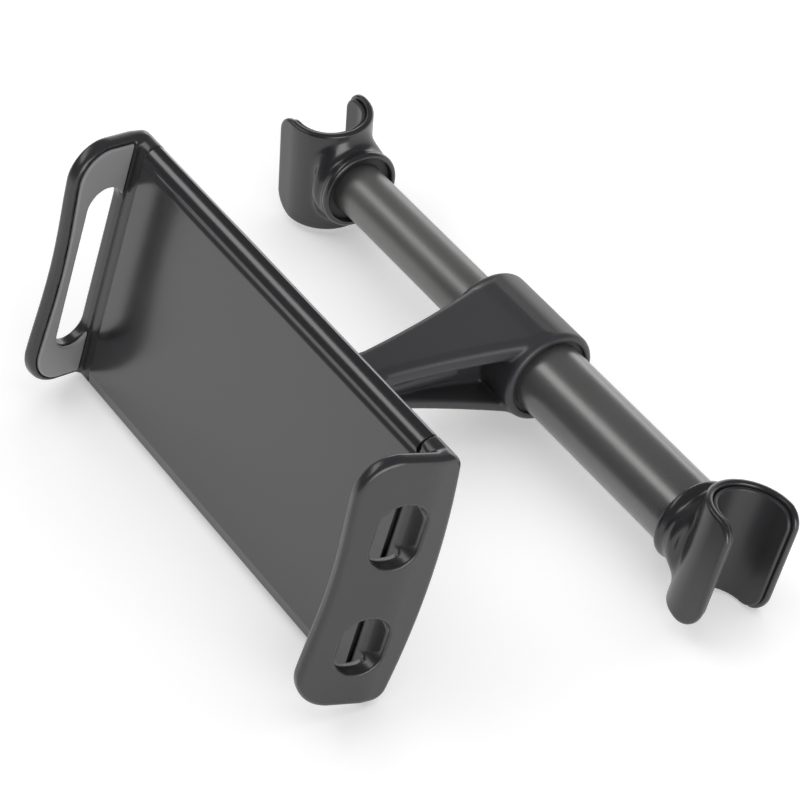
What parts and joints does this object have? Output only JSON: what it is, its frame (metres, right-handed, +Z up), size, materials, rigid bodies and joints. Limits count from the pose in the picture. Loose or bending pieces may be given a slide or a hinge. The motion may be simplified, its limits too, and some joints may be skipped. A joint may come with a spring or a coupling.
{
  "type": "headrest tablet mount",
  "caption": "Sprung rod with open hooks for headrest posts, a swinging arm and ball joint, and a tray with sprung jaws that grip a tablet.",
  "frame": {"origin": "centre of the right hook's post channel, on the rod's axis", "axes": "+Z up along the right headrest post, X along the rod with the left hook at -X, -Y towards the passenger who looks at the tray"},
  "size_m": [0.1762, 0.108, 0.0662],
  "materials": {
    "black_plastic": "fine satin moulded plastic, charcoal black",
    "grey_tray": "smooth satin moulded plastic, dark grey",
    "soft_liner": "soft dark rubber, semi-matt",
    "grey_tube": "satin grey coated steel tube",
    "black_nylon": "plain black nylon",
    "steel": "plated steel"
  },
  "bodies": {
    "right_end": {"right_hook": "black_plastic", "right_hook_liner": "soft_liner", "right_hook_screw": "steel", "outer_tube": "grey_tube", "mouth_bush": "black_nylon", "sleeve_clip": "steel", "rod_spring": "steel"},
    "rod_guide": {"guide_ring": "black_nylon"},
    "left_end": {"inner_tube": "grey_tube", "spring_plug": "black_nylon", "left_tube_adapter": "black_nylon", "left_hook": "black_plastic", "left_hook_liner": "soft_liner", "left_hook_screw": "steel"},
    "swing_arm": {"arm": "black_plastic", "left_sleeve_bush": "black_nylon", "right_sleeve_bush": "black_nylon", "ball_stud": "steel"},
    "seat": {"ball_seat": "black_nylon"},
    "socket": {"socket_cup": "black_plastic"},
    "nut": {"ring_nut": "black_plastic"},
    "cradle": {"tray_front": "grey_tray", "tray_back": "black_plastic", "swivel_plate": "steel", "swivel_screws": "steel", "back_screws": "steel", "left_jaw_spring": "steel", "right_jaw_spring": "steel"},
    "left_grip": {"left_jaw": "black_plastic", "left_jaw_pad": "soft_liner"},
    "right_grip": {"right_jaw": "black_plastic", "right_jaw_pad": "soft_liner"}
  },
  "joints": [
    {"name": "rod_extend", "type": "slide", "parent": "right_end", "child": "rod_guide", "axis": [-1, 0, 0], "range_m": [-0.04, 0], "stiffness_N_per_m": 400, "springref_m": 0.02, "deforming": ["rod_spring"]},
    {"name": "left_hook_twist", "type": "hinge", "parent": "rod_guide", "child": "left_end", "pos_m": [-0.1658, 0, 0], "axis": [1, 0, 0], "range_deg": [-104, 76]},
    {"name": "arm_swing", "type": "hinge", "parent": "right_end", "child": "swing_arm", "pos_m": [-0.0828, 0, 0], "axis": [1, 0, 0], "range_deg": [-100, 100]},
    {"name": "ball_tilt", "type": "hinge", "parent": "swing_arm", "child": "seat", "pos_m": [-0.0828, -0.0596, -0.0042], "axis": [1, 0, 0], "range_deg": [-25, 25]},
    {"name": "ball_pan", "type": "hinge", "parent": "seat", "child": "socket", "pos_m": [-0.0828, -0.0596, -0.0042], "axis": [0, 0, 1], "range_deg": [-25, 25]},
    {"name": "ring_nut_turn", "type": "hinge", "parent": "socket", "child": "nut", "pos_m": [-0.0828, -0.0596, -0.0042], "axis": [0, 1, 0], "range_deg": [0, 180]},
    {"name": "cradle_spin", "type": "hinge", "parent": "socket", "child": "cradle", "pos_m": [-0.0828, -0.0596, -0.0042], "axis": [0, 1, 0], "continuous": true},
    {"name": "left_jaw_slide", "type": "slide", "parent": "cradle", "child": "left_grip", "axis": [-1, 0, 0], "range_m": [0, 0.04], "stiffness_N_per_m": 150, "springref_m": -0.03, "deforming": ["left_jaw_spring"]},
    {"name": "right_jaw_slide", "type": "slide", "parent": "cradle", "child": "right_grip", "axis": [1, 0, 0], "range_m": [0, 0.04], "stiffness_N_per_m": 150, "springref_m": -0.03, "deforming": ["right_jaw_spring"]}
  ]
}
